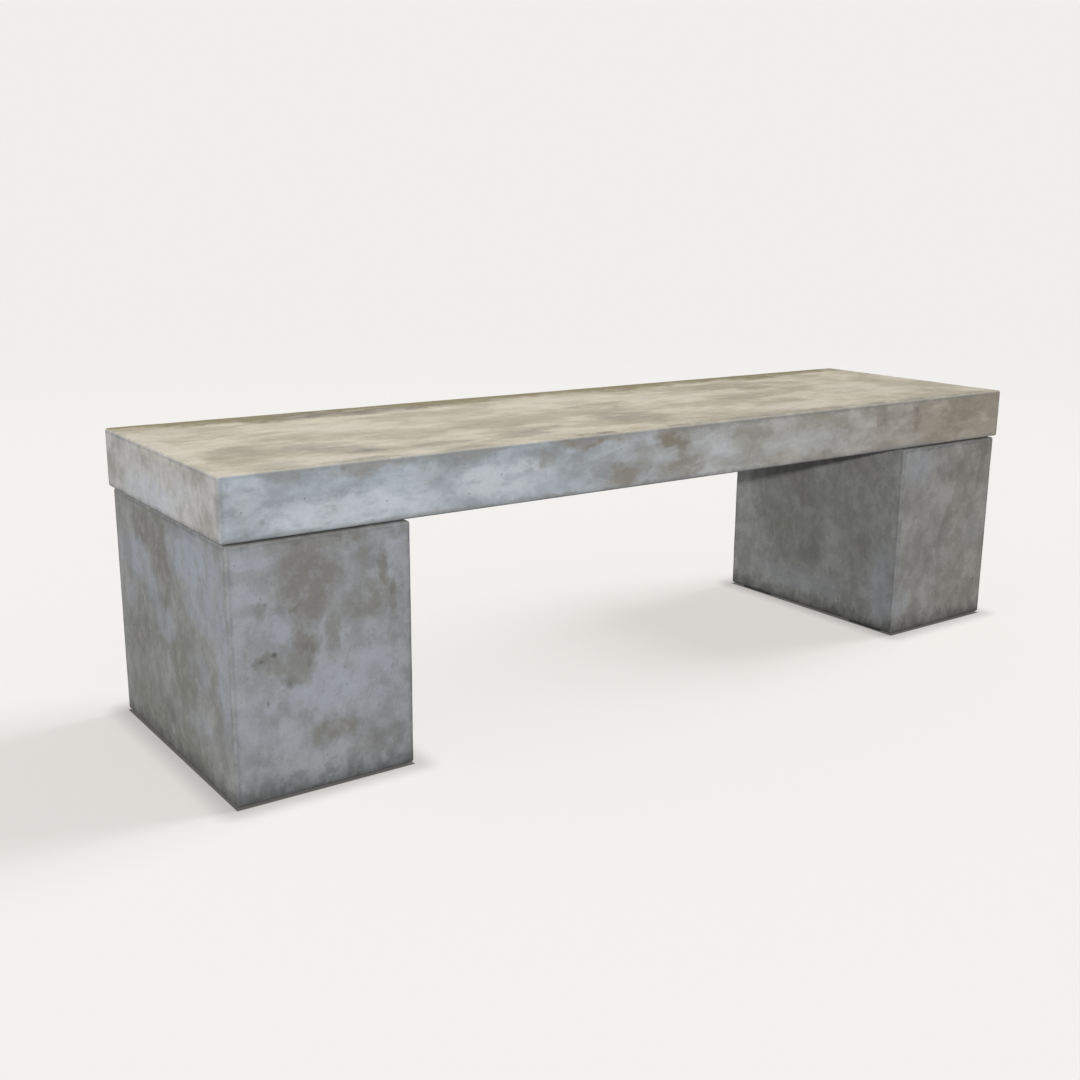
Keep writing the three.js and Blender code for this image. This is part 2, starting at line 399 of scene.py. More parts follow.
class Recipe:
    """A material being made. Each method adds nodes and gives back the socket with their result."""

    def __init__(self, name, roughness=0.8, metallic=0.0):
        self.material = bpy.data.materials.new(name)
        self.material.use_nodes = True
        self.nodes = self.material.node_tree.nodes
        self.links = self.material.node_tree.links
        self.shader = self.nodes["Principled BSDF"]
        self.shader.inputs["Roughness"].default_value = roughness
        self.shader.inputs["Metallic"].default_value = metallic
        self.place = self.nodes.new("ShaderNodeTexCoord").outputs["Object"]
        geometry = self.nodes.new("ShaderNodeNewGeometry")
        self.facing = self.split(geometry.outputs["Normal"])

    def feed(self, socket, value):
        """Links a socket, or sets it when the value is a plain number or colour."""
        if isinstance(value, bpy.types.NodeSocket):
            self.links.new(value, socket)
        else:
            socket.default_value = value

    def split(self, vector):
        node = self.nodes.new("ShaderNodeSeparateXYZ")
        self.feed(node.inputs[0], vector)
        return node.outputs

    def math(self, operation, *values):
        node = self.nodes.new("ShaderNodeMath")
        node.operation = operation
        for socket, value in zip(node.inputs, values):
            self.feed(socket, value)
        return node.outputs[0]

    def times(self, first, second):
        return self.math("MULTIPLY", first, second)

    def vector(self, operation, *values):
        node = self.nodes.new("ShaderNodeVectorMath")
        node.operation = operation
        for socket, value in zip(node.inputs, values):
            self.feed(socket, value)
        return node.outputs["Value" if operation == "LENGTH" else "Vector"]

    def distance_along(self, vector, centre):
        """How far a place is from a centre along each axis, as positive numbers."""
        return self.vector("ABSOLUTE", self.vector("SUBTRACT", vector, centre))

    def between(self, value, start, end, low=0.0, high=1.0):
        """Eases from low to high as the value goes from start to end."""
        node = self.nodes.new("ShaderNodeMapRange")
        node.interpolation_type = "SMOOTHSTEP"
        for socket, number in zip(node.inputs[:5], (value, start, end, low, high)):
            self.feed(socket, number)
        return node.outputs["Result"]

    def mix(self, factor, first, second, blend="MIX"):
        node = self.nodes.new("ShaderNodeMix")
        node.data_type = "RGBA"
        node.blend_type = blend
        self.feed(node.inputs[0], factor)
        self.feed(node.inputs[6], first)
        self.feed(node.inputs[7], second)
        return node.outputs[2]

    def cloud(self, size, detail=3, rough=0.5, stretch=(1, 1, 1), shift=0.0, colour=False):
        """Soft noise with features of about this many metres, longer along the stretched axes."""
        scale = [1 / (size * each) for each in stretch]
        node = self.nodes.new("ShaderNodeTexNoise")
        node.inputs["Scale"].default_value = 1
        node.inputs["Detail"].default_value = detail
        node.inputs["Roughness"].default_value = rough
        moved = self.vector("MULTIPLY_ADD", self.place, scale, (shift, -shift, 2 * shift))
        self.feed(node.inputs["Vector"], moved)
        return node.outputs["Color" if colour else "Fac"]

    def layer(self, name, low=0.0, high=1.0, **changes):
        """A layer of noise, eased from low to high between its two levels."""
        look = LAYERS[name] | changes
        start, end = look.pop("levels")
        return self.between(self.cloud(**look), start, end, low, high)

    def pinholes(self, spacing, radius):
        """1 inside tiny scattered round holes, 0 between them."""
        node = self.nodes.new("ShaderNodeTexVoronoi")
        node.inputs["Scale"].default_value = 1 / spacing
        self.feed(node.inputs["Vector"], self.place)
        chance = self.split(node.outputs["Color"])[0]
        reach = self.between(chance, PINHOLE_EMPTY, 1, 0, radius / spacing)
        return self.math("LESS_THAN", node.outputs["Distance"], reach)

    def warped(self, size, amount):
        """The place moved about by noise, so that round spots drawn on it get ragged outlines."""
        push = self.vector("SUBTRACT", self.cloud(size, **WARP), (0.5, 0.5, 0.5))
        return self.vector("MULTIPLY_ADD", push, (amount, amount, amount), self.place)

    def blots(self, place, spots, core):
        """The strongest of many soft spots, each (centre, radii, strength), full out to this core."""
        total = 0.0
        for centre, radii, strength in spots:
            away = self.vector("DIVIDE", self.vector("SUBTRACT", place, centre), radii)
            blot = self.between(self.vector("LENGTH", away), 1.0, core, 0.0, strength)
            total = self.math("MAXIMUM", total, blot)
        return total

    def near_edge(self, boxes, reach):
        """1 on the arrises of the nearest of these (low, high) boxes, down to 0 at this reach."""
        total = 0.0
        for low, high in boxes:
            centre, half = centre_and_half(low, high)
            x, y, z = self.split(self.distance_along(self.distance_along(self.place, centre), half))
            least = self.math("MINIMUM", x, y)
            most = self.math("MAXIMUM", x, y)
            second = self.math("MAXIMUM", least, self.math("MINIMUM", most, z))
            total = self.math("MAXIMUM", total, self.between(second, reach, 0.0))
        return total

    def bump(self, height, distance, under=None):
        node = self.nodes.new("ShaderNodeBump")
        node.inputs["Strength"].default_value = 1
        node.inputs["Distance"].default_value = distance
        self.feed(node.inputs["Height"], height)
        if under is not None:
            self.feed(node.inputs["Normal"], under)
        return node.outputs["Normal"]

    def finish(self, colour, roughness, normal):
        self.feed(self.shader.inputs["Base Color"], colour)
        self.feed(self.shader.inputs["Roughness"], roughness)
        self.feed(self.shader.inputs["Normal"], normal)
        return self.material


SEAT_LEFT, SEAT_FRONT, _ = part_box("seat_slab")[0]
SEAT_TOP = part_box("seat_slab")[1][2]
LEFT_LEG_SIDE, LEG_FRONT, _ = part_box("left_leg")[0]
RIGHT_LEG_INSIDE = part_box("right_leg")[0][0]


def on_top(spots):
    """Spots given by x, y, radius x, radius y and strength, on the top of the slab."""
    return [((x, y, SEAT_TOP), (rx, ry, STAIN_THICKNESS), strength) for x, y, rx, ry, strength in spots]


def on_front(y, spots):
    """Spots given by x, z, radius x, radius z and strength, on a face that looks to the front."""
    return [((x, y, z), (rx, STAIN_THICKNESS, rz), strength) for x, z, rx, rz, strength in spots]


def on_side(x, spots):
    """Spots given by y, z, radius y, radius z and strength, on a face that looks left."""
    return [((x, y, z), (STAIN_THICKNESS, ry, rz), strength) for y, z, ry, rz, strength in spots]


# Stains and marks. Each row gives a spot's place on its face, its two radii, both in
# metres, and its strength
SEAT_BROWN = on_front(SEAT_FRONT, [
    (-0.2, 0.447, 0.1, 0.017, 1.0),
    (-0.05, 0.434, 0.055, 0.035, 0.95),
    (-0.1, 0.415, 0.04, 0.03, 0.4),
    (-0.15, 0.388, 0.05, 0.026, 0.75),
    (-0.03, 0.392, 0.07, 0.026, 0.75),
    (0.05, 0.39, 0.04, 0.02, 0.25),
    (0.45, 0.43, 0.022, 0.045, 0.6),
    (0.548, 0.428, 0.016, 0.03, 0.95),
    (0.73, 0.44, 0.12, 0.03, 0.45),
    (0.3, 0.372, 0.1, 0.014, 0.45),
    (0.66, 0.4, 0.06, 0.03, 0.3),
]) + on_side(SEAT_LEFT, [
    (-0.165, 0.44, 0.055, 0.03, 0.4),
    (-0.02, 0.45, 0.04, 0.016, 0.25),
    (0.17, 0.43, 0.05, 0.03, 0.15),
]) + on_top([
    (-0.04, -0.1, 0.1, 0.1, 0.5),
    (-0.5, 0.19, 0.18, 0.055, 1.0),
    (-0.4, 0.186, 0.13, 0.065, 1.0),
    (-0.28, 0.19, 0.12, 0.055, 0.9),
    (0.0, 0.215, 0.8, 0.025, 0.6),
    (0.3, -0.02, 0.11, 0.06, 0.35),
    (0.02, -0.17, 0.12, 0.04, 0.35),
    (0.35, 0.1, 0.12, 0.06, 0.35),
    (0.7, -0.13, 0.08, 0.06, 0.3),
    (-0.72, -0.1, 0.06, 0.08, 0.3),
])
SEAT_OLIVE = on_front(SEAT_FRONT, [
    (0.12, 0.42, 0.06, 0.026, 0.2),
    (0.2, 0.38, 0.06, 0.016, 0.4),
    (0.3, 0.435, 0.1, 0.02, 0.3),
]) + on_top([
    (-0.66, 0.2, 0.12, 0.045, 0.9),
    (-0.572, 0.185, 0.06, 0.06, 1.0),
    (-0.18, 0.195, 0.15, 0.048, 0.85),
    (-0.03, 0.205, 0.14, 0.036, 0.8),
    (0.15, 0.195, 0.14, 0.055, 1.0),
    (0.25, 0.2, 0.1, 0.042, 0.9),
    (0.37, 0.2, 0.1, 0.038, 0.7),
    (0.52, 0.19, 0.1, 0.055, 1.0),
    (0.62, 0.2, 0.1, 0.036, 0.65),
    (-0.3, -0.05, 0.14, 0.05, 0.22),
    (0.45, 0.04, 0.12, 0.05, 0.25),
])
SEAT_GRIME_AND_SHADE = on_front(SEAT_FRONT, [
    (-0.58, 0.45, 0.09, 0.02, 0.7),
    (-0.43, 0.448, 0.07, 0.018, 0.5),
    (-0.295, 0.43, 0.02, 0.022, 0.5),
    (-0.71, 0.452, 0.05, 0.012, 0.35),
    (0.33, 0.412, 0.08, 0.035, 0.35),
    (0.4, 0.457, 0.5, 0.01, 0.7),
    (0.1, 0.455, 0.2, 0.012, 0.7),
    # Painted shadow along the joint under the slab's front
    (0.0, 0.366, 0.8, 0.006, 0.5),
]) + on_top([
    (-0.556, -0.156, 0.045, 0.032, 0.75),
    (-0.59, -0.12, 0.06, 0.03, 0.45),
    (-0.435, -0.165, 0.065, 0.03, 0.5),
    (-0.29, -0.16, 0.075, 0.035, 0.5),
    (-0.23, -0.13, 0.04, 0.03, 0.4),
    (-0.62, -0.085, 0.08, 0.04, 0.4),
    (-0.7, -0.06, 0.05, 0.05, 0.3),
    (-0.02, 0.02, 0.08, 0.03, 0.35),
    (0.4, 0.06, 0.07, 0.04, 0.3),
    (-0.7, -0.19, 0.06, 0.02, 0.3),
    (0.2, -0.2, 0.1, 0.02, 0.3),
])
SEAT_PALE = on_front(SEAT_FRONT, [
    (-0.6, 0.39, 0.22, 0.038, 0.8),
    (-0.37, 0.405, 0.13, 0.042, 0.9),
    (-0.76, 0.425, 0.04, 0.03, 0.5),
    (-0.5, 0.425, 0.05, 0.02, 0.4),
    (0.06, 0.41, 0.05, 0.03, 0.35),
    (0.25, 0.4, 0.18, 0.035, 0.15),
]) + on_side(SEAT_LEFT, [
    (0.04, 0.388, 0.15, 0.034, 0.7),
    (-0.1, 0.41, 0.05, 0.02, 0.3),
])
SEAT_LIGHT = on_top([
    # The first row, a paler band along the left edge of the top, is a painted highlight
    (-0.785, 0.0, 0.024, 0.22, 0.7),
    (-0.74, 0.12, 0.05, 0.06, 0.5),
    (-0.5, 0.05, 0.12, 0.08, 0.5),
    (-0.66, -0.19, 0.12, 0.035, 0.55),
    (-0.48, -0.2, 0.08, 0.03, 0.4),
    (-0.28, 0.03, 0.09, 0.05, 0.35),
    (-0.1, 0.09, 0.14, 0.06, 0.45),
    (0.17, 0.03, 0.14, 0.07, 0.45),
    (0.3, -0.16, 0.15, 0.05, 0.65),
    (0.12, -0.12, 0.05, 0.04, 0.35),
    (0.6, -0.05, 0.14, 0.1, 0.4),
])
SEAT_MARKS = on_front(SEAT_FRONT, [
    (-0.742, 0.389, 0.006, 0.006, 0.45),
    (-0.765, 0.375, 0.004, 0.004, 0.3),
    (-0.625, 0.448, 0.009, 0.005, 0.4),
    (0.55, 0.436, 0.004, 0.008, 0.5),
]) + on_top([
    (0.008, -0.005, 0.013, 0.009, 0.6),
    (-0.555, -0.16, 0.01, 0.012, 0.4),
])

LEG_BROWN = on_front(LEG_FRONT, [
    (-0.68, 0.3, 0.072, 0.08, 0.85),
    (-0.66, 0.352, 0.12, 0.026, 0.65),
    (-0.615, 0.354, 0.04, 0.018, 0.75),
    (-0.6, 0.262, 0.055, 0.045, 0.7),
    (-0.686, 0.232, 0.024, 0.07, 0.8),
    (-0.648, 0.224, 0.018, 0.05, 0.65),
    (-0.602, 0.305, 0.018, 0.045, 0.6),
    (-0.566, 0.3, 0.012, 0.04, 0.85),
    (-0.556, 0.255, 0.012, 0.045, 1.0),
    (-0.647, 0.085, 0.048, 0.026, 0.8),
    (-0.668, 0.07, 0.02, 0.02, 0.5),
    (-0.772, 0.322, 0.05, 0.014, 0.35),
    (-0.74, 0.268, 0.06, 0.01, 0.3),
    (-0.545, 0.35, 0.025, 0.014, 0.6),
    (0.665, 0.31, 0.085, 0.035, 0.5),
    (0.75, 0.33, 0.06, 0.07, 0.5),
    (0.67, 0.15, 0.1, 0.08, 0.3),
]) + on_side(LEFT_LEG_SIDE, [
    (0.025, 0.31, 0.055, 0.09, 0.8),
    (0.095, 0.325, 0.06, 0.04, 0.8),
    (0.02, 0.25, 0.05, 0.05, 0.65),
    (0.14, 0.16, 0.09, 0.07, 0.55),
    (0.17, 0.27, 0.03, 0.06, 0.4),
    (-0.02, 0.12, 0.05, 0.06, 0.4),
    (-0.19, 0.09, 0.04, 0.06, 0.4),
])
LEG_OLIVE = on_front(LEG_FRONT, [
    (-0.722, 0.19, 0.038, 0.02, 0.65),
    (-0.7, 0.17, 0.028, 0.022, 0.55),
    (-0.75, 0.2, 0.014, 0.01, 0.5),
    (-0.77, 0.17, 0.02, 0.02, 0.35),
    (0.77, 0.35, 0.05, 0.05, 0.6),
    (-0.58, 0.045, 0.06, 0.03, 0.3),
]) + on_side(LEFT_LEG_SIDE, [
    (-0.06, 0.145, 0.085, 0.08, 0.65),
    (0.1, 0.05, 0.13, 0.06, 0.7),
    (-0.05, 0.04, 0.18, 0.045, 0.7),
    (0.0, 0.35, 0.16, 0.014, 0.5),
]) + on_side(RIGHT_LEG_INSIDE, [
    (0.05, 0.15, 0.12, 0.12, 0.5),
    (-0.12, 0.2, 0.06, 0.14, 0.4),
    (0.0, 0.25, 0.18, 0.05, 0.4),
])
LEG_GRIME_AND_SHADE = on_front(LEG_FRONT, [
    (-0.716, 0.268, 0.026, 0.01, 0.35),
    (-0.711, 0.163, 0.016, 0.014, 0.4),
    (-0.745, 0.198, 0.02, 0.012, 0.35),
    (-0.685, 0.205, 0.01, 0.025, 0.35),
    (-0.56, 0.05, 0.06, 0.03, 0.3),
    (0.63, 0.19, 0.07, 0.07, 0.2),
    # Painted shade along the tops of the legs' fronts, under the slab
    (-0.659, 0.361, 0.14, 0.006, 0.5),
    (0.659, 0.361, 0.14, 0.006, 0.5),
]) + on_side(LEFT_LEG_SIDE, [
    (0.02, 0.06, 0.03, 0.04, 0.3),
    (0.1, 0.19, 0.08, 0.08, 0.25),
    # Painted shade along the top of the left leg's side, under the slab
    (0.0, 0.361, 0.23, 0.006, 0.5),
]) + on_side(RIGHT_LEG_INSIDE, [
    (0.0, 0.12, 0.05, 0.05, 0.25),
    (0.14, 0.2, 0.04, 0.05, 0.25),
    # Painted shadow at the top of the right leg's inner face, under the slab
    (0.19, 0.358, 0.09, 0.045, 1.0),
    (0.08, 0.363, 0.1, 0.035, 1.0),
    (-0.05, 0.366, 0.12, 0.022, 0.9),
])
LEG_PALE = on_front(LEG_FRONT, [
    (-0.765, 0.335, 0.045, 0.03, 0.75),
    (-0.765, 0.295, 0.035, 0.025, 0.7),
    (-0.725, 0.24, 0.045, 0.035, 0.75),
    (-0.775, 0.245, 0.03, 0.035, 0.6),
    (-0.66, 0.145, 0.085, 0.05, 0.85),
    (-0.585, 0.15, 0.055, 0.09, 0.7),
    (-0.765, 0.12, 0.04, 0.06, 0.55),
    (-0.72, 0.09, 0.05, 0.03, 0.5),
    (-0.548, 0.33, 0.025, 0.06, 0.6),
    (-0.63, 0.285, 0.02, 0.03, 0.45),
    (-0.582, 0.205, 0.03, 0.02, 0.5),
    (-0.54, 0.1, 0.03, 0.04, 0.55),
    (0.57, 0.33, 0.08, 0.055, 0.4),
    (0.54, 0.065, 0.05, 0.045, 0.35),
    (0.745, 0.18, 0.04, 0.04, 0.3),
]) + on_side(LEFT_LEG_SIDE, [
    (-0.1, 0.32, 0.15, 0.06, 1.0),
    (-0.14, 0.26, 0.1, 0.045, 0.8),
    (-0.2, 0.2, 0.035, 0.17, 0.8),
    (0.14, 0.275, 0.09, 0.045, 0.85),
    (0.06, 0.24, 0.05, 0.035, 0.7),
    (-0.1, 0.16, 0.06, 0.04, 0.6),
    (0.02, 0.2, 0.06, 0.035, 0.6),
    (-0.1, 0.08, 0.07, 0.03, 0.4),
    (0.16, 0.2, 0.04, 0.04, 0.4),
]) + on_side(RIGHT_LEG_INSIDE, [
    (-0.19, 0.1, 0.05, 0.12, 0.4),
    (0.1, 0.22, 0.03, 0.03, 0.35),
    (-0.05, 0.25, 0.06, 0.02, 0.3),
    (0.02, 0.06, 0.16, 0.04, 0.35),
])
LEG_MARKS = on_front(LEG_FRONT, [
    (-0.733, 0.207, 0.0065, 0.0065, 0.9),
    (-0.751, 0.201, 0.0065, 0.005, 0.6),
    (-0.7425, 0.2775, 0.005, 0.0045, 0.5),
    (-0.744, 0.141, 0.0028, 0.009, 0.7),
    (-0.7515, 0.278, 0.002, 0.002, 0.5),
    (-0.711, 0.163, 0.006, 0.005, 0.4),
    (-0.63, 0.17, 0.004, 0.004, 0.3),
    (0.767, 0.077, 0.004, 0.004, 0.8),
])


class Concrete(Recipe):
    """Cast concrete, laid on in layers. Most methods take the colour so far and give back the next."""

    def __init__(self, name, tints, grain):
        super().__init__(name)
        self.tints = tints
        self.grain = grain
        self.up = self.between(self.facing[2], *FACING_UP)
        self.level = self.between(self.facing[2], *FACING_LEVEL)
        self.patchy = self.layer("patch", stretch=grain)
        self.holes = self.pinholes(PINHOLE_SPACING, PINHOLE_RADIUS)

    def tinted(self):
        """The colour, which changes along the bench, on its left faces and on top: partly its own tone,
        partly painted light.
        """
        left, middle, right = TINT_PLACES
        along = self.split(self.warped(*TINT_WARP))[0]
        sides = self.mix(self.between(along, left, middle), self.tints["left"], self.tints["middle"])
        sides = self.mix(self.between(along, middle, right), sides, self.tints["right"])
        sides = self.mix(self.between(self.facing[0], *FACING_LEFT), sides, self.tints["end"])
        return self.mix(self.up, sides, self.tints["top"])

    def clouded(self, colour):
        """Clouds of cement, broad ones and then smaller, patchier ones."""
        broad = self.times(self.layer("cloud", stretch=self.grain), CLOUD_STRENGTH)
        colour = self.mix(broad, colour, self.tints["cloud"], "MULTIPLY")
        small = self.times(self.patchy, self.between(self.up, 0, 1, *PATCH_STRENGTH))
        return self.mix(small, colour, self.tints["patch"], "MULTIPLY")

    def scattered(self):
        """Stains of no fixed place: strong on faces that look right or back, faint on the others."""
        away = self.between(self.math("ADD", self.facing[0], self.facing[1]), *FACING_AWAY)
        spread = self.layer("scatter", 0, SCATTER_STRENGTH)
        return self.times(spread, self.between(away, 0, 1, *SCATTER_SEEN))

    def stained(self, colour, stains):
        """Each kind of stain over the last, worn thin in places, its spots having ragged outlines. Some
        of the spots are painted shade under the slab.
        """
        ragged = self.warped(*STAIN_WARP)
        wear = self.layer("wear", *STAIN_WEAR, stretch=self.grain)
        for kind, (tint, spots) in stains.items():
            mark = self.blots(ragged, spots, STAIN_CORE)
            if kind == "brown":
                mark = self.math("MAXIMUM", mark, self.scattered())
            colour = self.mix(self.times(mark, wear), colour, tint)
        return colour

    def banded(self, colour):
        """A dark band, ragged and broken, along the back of the top."""
        wander = self.times(self.math("SUBTRACT", self.patchy, 0.5), BAND_WANDER)
        depth = self.math("ADD", self.split(self.place)[1], wander)
        band = self.times(self.between(depth, *BAND_DEPTH), self.layer("band", *BAND_STRENGTH))
        return self.mix(self.times(band, self.up), colour, self.tints["band"])

    def marked(self, colour, marks):
        """Small dark marks."""
        dots = self.blots(self.warped(*MARK_WARP), marks, MARK_CORE)
        return self.mix(dots, colour, self.tints["mark"])

    def grained(self, colour):
        """Faint drips down the upright faces, and fine grain all over."""
        upright = self.between(self.math("ABSOLUTE", self.facing[2]), *UPRIGHT)
        drips = self.times(self.times(self.layer("drip"), upright), DRIP_STRENGTH)
        colour = self.mix(drips, colour, self.tints["streak"], "MULTIPLY")
        grain = self.times(self.layer("grain"), GRAIN_STRENGTH)
        return self.mix(grain, colour, self.tints["grain"], "MULTIPLY")

    def edged(self, colour, boxes):
        """Arrises patchy with wear: darker on the upright and lower ones with a thin darker line beside
        those, paler round the top. The darkness is partly painted shade.
        """
        wear = self.between(self.patchy, 0, 1, *EDGE_WEAR)
        edge = self.near_edge(boxes, EDGE_REACH)
        beside = self.times(self.times(edge, self.math("SUBTRACT", 1, edge)), LINE_STRENGTH)
        line = self.mix(self.level, self.tints["line"], colour)
        colour = self.mix(self.times(beside, wear), colour, line)
        arris_wear_and_shade = self.times(self.between(edge, *ARRIS_SHOWS, 0, ARRIS_STRENGTH), wear)
        arris = self.mix(self.level, self.tints["arris"], self.tints["rim"])
        return self.mix(arris_wear_and_shade, colour, arris)

    def pitted(self, colour):
        """Pinholes too small to be cut as geometry."""
        return self.mix(self.times(self.holes, PINHOLE_STRENGTH), colour, self.tints["hole"])

    def footed(self, colour):
        """Darker towards the ground: partly painted shade near the floor, partly damp."""
        height = self.math("ADD", self.split(self.place)[2], self.times(self.patchy, FOOT_WANDER))
        return self.mix(self.between(height, *FOOT_HEIGHT), colour, self.tints["foot"], "MULTIPLY")

    def relief(self):
        """Fine grit and pinholes over a gentle swell."""
        grit = self.math("ADD", self.cloud(**GRIT), self.times(self.holes, PINHOLE_RELIEF))
        return self.bump(grit, GRIT_HEIGHT, self.bump(self.cloud(**SWELL), SWELL_HEIGHT))


def concrete(name, nodes, tints, grain, stains, marks):
    """A casting's concrete. Its grain says how far clouds and wear are stretched along each axis."""
    make = Concrete(name, tints, grain)
    colour = make.stained(make.clouded(make.tinted()), stains)
    if "band" in tints:
        colour = make.banded(colour)
    colour = make.grained(make.marked(colour, marks))
    colour = make.edged(colour, [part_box(node) for node in nodes])
    colour = make.pitted(colour)
    if "foot" in tints:
        colour = make.footed(colour)
    return make.finish(colour, make.layer("gloss", *CONCRETE_GLOSS), make.relief())


# Colours: along the bench (left, middle, right), on the faces that look left (end) and on top; what
# clouds, patches, streaks and grain multiply them by; the arrises round the top (rim), the others
# (arris) and the line beside those
# Along the bench, on the ends and on top the tints are partly own tone, partly painted light: lamp
# fall-off and light on top and ends
SEAT_TINTS = {
    "left": (0.348, 0.394, 0.448, 1),
    "middle": (0.425, 0.425, 0.415, 1),
    "right": (0.4, 0.36, 0.3, 1),
    "end": (0.47, 0.465, 0.455, 1),
    "top": (0.587, 0.533, 0.431, 1),
    "cloud": (0.68, 0.66, 0.62, 1),
    "patch": (0.74, 0.73, 0.7, 1),
    "band": (0.23, 0.195, 0.105, 1),
    "streak": (0.8, 0.8, 0.79, 1),
    "grain": (0.75, 0.75, 0.74, 1),
    # The darker arris and line tints are partly painted shade
    "rim": (0.35, 0.335, 0.295, 1),
    "arris": (0.175, 0.182, 0.188, 1),
    "line": (0.2, 0.205, 0.21, 1),
    "mark": (0.13, 0.12, 0.1, 1),
    "hole": (0.1, 0.098, 0.09, 1),
}
LEG_TINTS = {
    "left": (0.278, 0.29, 0.308, 1),
    "middle": (0.29, 0.298, 0.305, 1),
    "right": (0.305, 0.298, 0.28, 1),
    "end": (0.295, 0.296, 0.29, 1),
    "top": (0.3, 0.3, 0.29, 1),
    "cloud": (0.76, 0.755, 0.74, 1),
    "patch": (0.72, 0.715, 0.7, 1),
    "streak": (0.78, 0.78, 0.77, 1),
    "grain": (0.75, 0.75, 0.74, 1),
    # The darker arris and line tints are partly painted shade
    "rim": (0.2, 0.2, 0.2, 1),
    "arris": (0.16, 0.163, 0.168, 1),
    "line": (0.15, 0.155, 0.16, 1),
    "mark": (0.06, 0.058, 0.05, 1),
    "hole": (0.06, 0.058, 0.052, 1),
    # Partly painted shade near the floor, partly damp
    "foot": (0.36, 0.36, 0.35, 1),
}
SEAT_STAINS = {
    "pale": ((0.48, 0.51, 0.55, 1), SEAT_PALE),
    "brown": ((0.2, 0.178, 0.145, 1), SEAT_BROWN),
    "olive": ((0.215, 0.19, 0.105, 1), SEAT_OLIVE),
    "light": ((0.6, 0.56, 0.48, 1), SEAT_LIGHT),
    "grime_and_shade": ((0.21, 0.2, 0.175, 1), SEAT_GRIME_AND_SHADE),
}
LEG_STAINS = {
    "pale": ((0.3, 0.32, 0.362, 1), LEG_PALE),
    "brown": ((0.155, 0.149, 0.135, 1), LEG_BROWN),
    "olive": ((0.165, 0.165, 0.14, 1), LEG_OLIVE),
    "grime_and_shade": ((0.1, 0.1, 0.093, 1), LEG_GRIME_AND_SHADE),
}
SEAT_GRAIN = (2.2, 1, 1)
LEG_GRAIN = (1, 1, 1.25)

seat_concrete = concrete(
    "seat_concrete", ["seat_slab"], SEAT_TINTS, SEAT_GRAIN, SEAT_STAINS, SEAT_MARKS
)
leg_concrete = concrete(
    "leg_concrete", ["left_leg", "right_leg"], LEG_TINTS, LEG_GRAIN, LEG_STAINS, LEG_MARKS
)
slab.data.materials.append(seat_concrete)
for leg in legs:
    leg.data.materials.append(leg_concrete)


def metal(name, colour, roughness, grain):
    """Plated or bare steel: faint crystals in its finish, uneven gloss and fine drawn scratches."""
    make = Recipe(name, roughness, 1.0)
    crystals = make.cloud(grain, rough=0.6, shift=2.0)
    scratches = make.cloud(**SCRATCHES)
    dull = [STEEL_DULL * each for each in colour[:3]] + [1]
    tone = make.mix(make.between(crystals, *STEEL_LEVELS), colour, dull)
    tone = make.mix(make.layer("rust", 0, STEEL_SPOT_STRENGTH), tone, STEEL_SPOT)
    smooth, rough = (roughness + change for change in STEEL_GLOSS)
    gloss = make.between(make.math("ADD", crystals, scratches), *STEEL_GLOSS_LEVELS, smooth, rough)
    normal = make.bump(scratches, SCRATCH_HEIGHT, make.bump(crystals, CRYSTAL_HEIGHT))
    return make.finish(tone, gloss, normal)


def rubber(name):
    """Moulded rubber: nearly black, with a fine texture and pale dust caught in it."""
    make = Recipe(name, RUBBER_ROUGHNESS)
    texture = make.cloud(**RUBBER_TEXTURE)
    tone = make.mix(make.layer("dust", 0, RUBBER_DUST_STRENGTH), RUBBER_COLOUR, RUBBER_DUST)
    gloss = make.between(texture, *RUBBER_LEVELS, *RUBBER_GLOSS)
    return make.finish(tone, gloss, make.bump(texture, RUBBER_HEIGHT))


# ---------------------------------------------------------------------------- bolts, inserts, pads


def ring_tube(rings):
    """One closed mesh through rings of points, with a flat end on each."""
    around = len(rings[0])
    points = [point for ring in rings for point in ring]
    faces = []
    for row in range(len(rings) - 1):
        here = row * around
        above = here + around
        for step in range(around):
            after = (step + 1) % around
            faces.append((here + step, here + after, above + after, above + step))
    faces.append(tuple(range(around))[::-1])
    last = (len(rings) - 1) * around
    faces.append(tuple(range(last, last + around)))
    return points, faces


def bolt_rings(foot, top):
    """Heights and, for each, the radius at every angle: chamfered hexagon, neck, shank and thread."""
    turns = np.linspace(0, 2 * math.pi, BOLT_SIDES, endpoint=False)
    hexagon = BOLT_FLAT / np.cos((turns + math.pi / 6) % (math.pi / 3) - math.pi / 6)
    round_one = np.ones(BOLT_SIDES)
    rows = []
    for share, reach in BOLT_HEAD_CHAMFER:
        rows.append((foot + share * BOLT_HEAD_HEIGHT, np.minimum(hexagon, reach)))
    under_head = foot + BOLT_HEAD_HEIGHT
    rows.append((under_head - BOLT_COLLAR, np.minimum(hexagon, BOLT_HEAD_CHAMFER[-1][1])))
    rows.append((under_head - BOLT_COLLAR, (BOLT_FLAT - BOLT_COLLAR) * round_one))
    rows.append((under_head, (BOLT_FLAT - BOLT_COLLAR) * round_one))
    rows.append((under_head, (BOLT_RADIUS + BOLT_COLLAR) * round_one))
    rows.append((under_head + 2 * BOLT_COLLAR, BOLT_RADIUS * round_one))
    start = top - BOLT_THREADED
    rows.append((start - BOLT_PITCH, BOLT_RADIUS * round_one))
    for height in np.arange(start, top, BOLT_PITCH / BOLT_STEPS_PER_TURN):
        phase = ((height - start) / BOLT_PITCH - turns / (2 * math.pi)) % 1
        depth = BOLT_THREAD_DEPTH * (1 - np.abs(2 * phase - 1))
        tip = BOLT_RADIUS - BOLT_THREAD_DEPTH + (top - height)
        rows.append((height, np.minimum(BOLT_RADIUS - depth, tip)))
    rows.append((top, (BOLT_RADIUS - BOLT_THREAD_DEPTH) * round_one))
    return turns, rows


